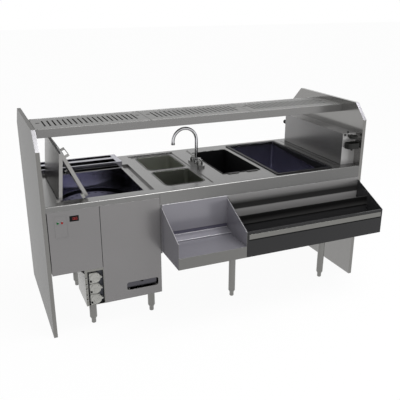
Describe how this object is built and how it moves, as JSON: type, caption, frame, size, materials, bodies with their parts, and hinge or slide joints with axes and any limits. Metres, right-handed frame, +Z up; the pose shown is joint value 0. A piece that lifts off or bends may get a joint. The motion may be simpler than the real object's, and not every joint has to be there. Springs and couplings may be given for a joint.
{
  "type": "bar sink with ice bin",
  "caption": "Stainless bar station with end panels, folding-lid glass washer, sink bowls, gooseneck tap, bottle well, ice bin, drain overshelf and bottle rails.",
  "frame": {"origin": "centre of the footprint of the whole box, on the floor", "axes": "+X along the station from the washer to the hose chase, +Y from the bartender's side to the back, +Z up"},
  "size_m": [1.983, 1.0794, 1.145],
  "materials": {
    "panel_steel": "satin, warm grey",
    "worktop_steel": "satin",
    "frame_steel": "mill",
    "foam_jacket": "matt, foam behind a thin sheet",
    "foot_metal": "dull",
    "shelf_steel": "satin",
    "grate_steel": "satin",
    "body_steel": "satin",
    "lid_steel": "satin",
    "display_plastic": "matt",
    "display_glass": "dark red",
    "green_button": "gloss",
    "red_button": "gloss",
    "tub_steel": "dark satin",
    "motor_paint": "semi-gloss",
    "nylon": "matt",
    "black_plastic": "matt",
    "pump_plastic": "satin",
    "rotor_plastic": "matt",
    "black_rubber": "matt",
    "bowl_steel": "satin",
    "drain_metal": "bright",
    "tap_chrome": "bright",
    "aerator_metal": "dark",
    "liner_steel": "dark satin",
    "rail_steel": "satin",
    "black_steel": "satin black",
    "strip_steel": "satin"
  },
  "bodies": {
    "station": {"left_end_panel": "panel_steel", "right_end_panel": "panel_steel", "worktop": "worktop_steel", "under_frame": "frame_steel", "leg_tubes": "frame_steel", "ice_bin_jacket": "foam_jacket", "bullet_feet": "foot_metal", "overshelf_tray": "shelf_steel", "washer_cabinet": "body_steel", "service_panel": "body_steel", "control_panel": "body_steel", "gun_chase": "body_steel", "lid_pivot_brackets": "lid_steel", "display_bezel": "display_plastic", "display_window": "display_glass", "wash_tub": "tub_steel", "spray_manifold": "tub_steel", "carousel_gearmotor": "motor_paint", "wash_pump": "motor_paint", "pump_chassis": "motor_paint", "lid_switch": "black_plastic", "ice_bin_rim": "black_plastic", "gun_holster": "black_plastic", "drip_cup": "black_plastic", "pump_heads": "pump_plastic", "pump_fittings": "black_rubber", "hose_grommet": "black_rubber", "front_bowl": "bowl_steel", "rear_bowl": "bowl_steel", "bowl_strainers": "drain_metal", "bowl_tailpieces": "drain_metal", "ice_bin_drain": "drain_metal", "tap_base": "tap_chrome", "ice_bin_liner": "liner_steel", "step_rail": "rail_steel", "rail_back_panel": "rail_steel", "speed_rail": "black_steel", "speed_rail_guard": "black_steel", "speed_rail_strip": "strip_steel"},
    "lid_lower": {"lid_lower_leaf": "lid_steel", "lid_fold_pins": "lid_steel"},
    "lid_upper": {"lid_upper_leaf": "lid_steel", "lid_slide_feet": "nylon", "lid_handle": "lid_steel"},
    "carousel": {"glass_carousel": "tub_steel"},
    "rotor_upper": {"pump_rotor_upper": "rotor_plastic"},
    "rotor_middle": {"pump_rotor_middle": "rotor_plastic"},
    "rotor_lower": {"pump_rotor_lower": "rotor_plastic"},
    "start": {"start_button": "green_button"},
    "stop": {"stop_button": "red_button"},
    "scrap_drawer": {"scrap_tray": "body_steel"},
    "spout": {"tap_spout": "tap_chrome", "tap_aerator": "aerator_metal"},
    "front_lever": {"tap_front_lever": "tap_chrome"},
    "rear_lever": {"tap_rear_lever": "tap_chrome"},
    "grate_left": {"drain_grate_left": "grate_steel"},
    "grate_centre": {"drain_grate_centre": "grate_steel"},
    "grate_right": {"drain_grate_right": "grate_steel"},
    "bottle_insert": {"bottle_tray": "black_plastic"},
    "grille": {"rear_grille": "grate_steel"}
  },
  "joints": [
    {"name": "lid_lower_hinge", "type": "hinge", "parent": "station", "child": "lid_lower", "pos_m": [-0.8795, 0.01775, 0.772], "axis": [0, 1, 0], "range_deg": [0, 85]},
    {"name": "lid_fold_hinge", "type": "hinge", "parent": "lid_lower", "child": "lid_upper", "pos_m": [-0.85832, 0.01775, 1.01408], "axis": [0, 1, 0], "range_deg": [-149.82, 0]},
    {"name": "carousel_spin", "type": "hinge", "parent": "station", "child": "carousel", "pos_m": [-0.655, 0.01775, 0.6], "axis": [0, 0, 1], "continuous": true},
    {"name": "start_press", "type": "slide", "parent": "station", "child": "start", "axis": [0, 1, 0], "range_m": [0, 0.003], "stiffness_N_per_m": 500, "springref_m": -0.001},
    {"name": "stop_press", "type": "slide", "parent": "station", "child": "stop", "axis": [0, 1, 0], "range_m": [0, 0.003], "stiffness_N_per_m": 500, "springref_m": -0.001},
    {"name": "scrap_drawer_slide", "type": "slide", "parent": "station", "child": "scrap_drawer", "axis": [0, -1, 0], "range_m": [0, 0.25]},
    {"name": "spout_swivel", "type": "hinge", "parent": "station", "child": "spout", "pos_m": [0.0355, 0.14575, 0.792], "axis": [0, 0, 1], "continuous": true},
    {"name": "front_lever_turn", "type": "hinge", "parent": "station", "child": "front_lever", "pos_m": [0.0355, 0.09495, 0.796], "axis": [0, 0, -1], "range_deg": [0, 90]},
    {"name": "rear_lever_turn", "type": "hinge", "parent": "station", "child": "rear_lever", "pos_m": [0.0355, 0.19655, 0.796], "axis": [0, 0, 1], "range_deg": [0, 90]},
    {"name": "grate_left_lift", "type": "slide", "parent": "station", "child": "grate_left", "axis": [0, 0, 1], "range_m": [0, 0.06]},
    {"name": "grate_centre_lift", "type": "slide", "parent": "station", "child": "grate_centre", "axis": [0, 0, 1], "range_m": [0, 0.06]},
    {"name": "grate_right_lift", "type": "slide", "parent": "station", "child": "grate_right", "axis": [0, 0, 1], "range_m": [0, 0.06]},
    {"name": "bottle_insert_lift", "type": "slide", "parent": "station", "child": "bottle_insert", "axis": [0, 0, 1], "range_m": [0, 0.2]},
    {"name": "grille_lift", "type": "slide", "parent": "station", "child": "grille", "axis": [0, 0, 1], "range_m": [0, 0.05]},
    {"name": "pump_lower_spin", "type": "hinge", "parent": "station", "child": "rotor_lower", "pos_m": [-0.7445, -0.26625, 0.1865], "axis": [0, 1, 0], "continuous": true},
    {"name": "pump_middle_spin", "type": "hinge", "parent": "station", "child": "rotor_middle", "pos_m": [-0.7445, -0.26625, 0.2515], "axis": [0, 1, 0], "continuous": true},
    {"name": "pump_upper_spin", "type": "hinge", "parent": "station", "child": "rotor_upper", "pos_m": [-0.7445, -0.26625, 0.3165], "axis": [0, 1, 0], "continuous": true}
  ],
  "couplings": [
    {"joint": "lid_fold_hinge", "follows": "lid_lower_hinge", "ratio": -1.7626}
  ]
}
